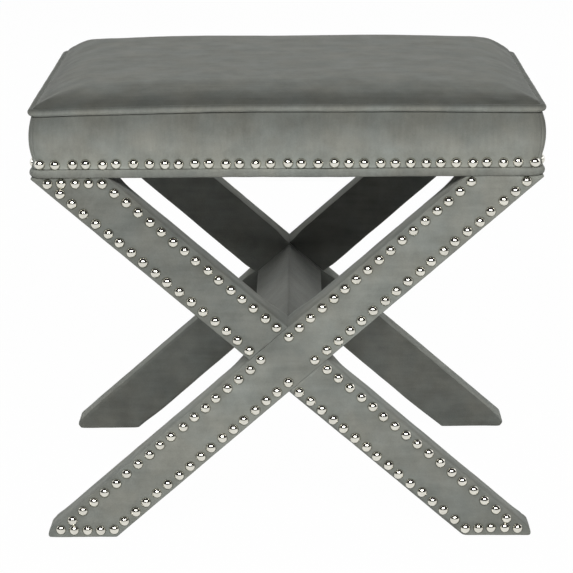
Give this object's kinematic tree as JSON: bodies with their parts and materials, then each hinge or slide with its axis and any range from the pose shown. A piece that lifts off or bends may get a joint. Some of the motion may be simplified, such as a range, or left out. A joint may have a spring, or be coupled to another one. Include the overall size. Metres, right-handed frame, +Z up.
{
  "type": "upholstered ottoman",
  "caption": "Velvet-covered ottoman with a crowned boxed seat on two crossed-leg frames joined by a stretcher, trimmed with welts and rows of domed nails.",
  "frame": {"origin": "on the floor, under the middle of the seat", "axes": "+Z up, +X to the right and along the seat's width, +Y to the back; the nailed face seen first looks along -Y"},
  "size_m": [0.54, 0.44, 0.497],
  "materials": {
    "velvet": "short-pile velvet, sage grey",
    "nickel": "polished nickel plate",
    "timber": "planed hardwood, unfinished",
    "plywood": "plain plywood",
    "foam": "polyurethane foam",
    "wadding": "polyester wadding",
    "felt": "needle felt",
    "cord": "twisted paper cord",
    "dust_cloth": "non-woven dust cloth",
    "zinc_steel": "zinc plated",
    "glide_plastic": "moulded nail-on glide"
  },
  "bodies": {
    "root": {"front_rail": "timber", "rear_rail": "timber", "left_rail": "timber", "right_rail": "timber", "corner_blocks": "timber", "corner_screws": "zinc_steel", "seat_deck": "plywood", "deck_screws": "zinc_steel", "seat_foam": "foam", "seat_wadding": "wadding", "seat_cover": "velvet", "top_welt": "velvet", "top_welt_cord": "cord", "bottom_welt": "velvet", "bottom_welt_cord": "cord", "front_band": "velvet", "rear_band": "velvet", "left_band": "velvet", "right_band": "velvet", "front_band_pad": "wadding", "rear_band_pad": "wadding", "left_band_pad": "wadding", "right_band_pad": "wadding", "front_band_nails": "nickel", "rear_band_nails": "nickel", "left_band_nails": "nickel", "right_band_nails": "nickel", "dust_cover": "dust_cloth", "front_long_leg": "timber", "front_lapped_leg": "timber", "rear_long_leg": "timber", "rear_lapped_leg": "timber", "front_long_leg_pad": "felt", "front_upper_leg_pad": "felt", "front_lower_leg_pad": "felt", "rear_long_leg_pad": "felt", "rear_upper_leg_pad": "felt", "rear_lower_leg_pad": "felt", "front_long_leg_cover": "velvet", "front_upper_leg_cover": "velvet", "front_lower_leg_cover": "velvet", "rear_long_leg_cover": "velvet", "rear_upper_leg_cover": "velvet", "rear_lower_leg_cover": "velvet", "front_leg_nails": "nickel", "rear_leg_nails": "nickel", "leg_bolts": "zinc_steel", "leg_washers": "zinc_steel", "leg_inserts": "zinc_steel", "leg_dowels": "timber", "foot_glides": "glide_plastic", "stretcher_bar": "timber", "stretcher_pad": "felt", "stretcher_cover": "velvet", "stretcher_screws": "zinc_steel", "stretcher_washers": "zinc_steel", "stretcher_dowels": "timber"}
  },
  "joints": []
}
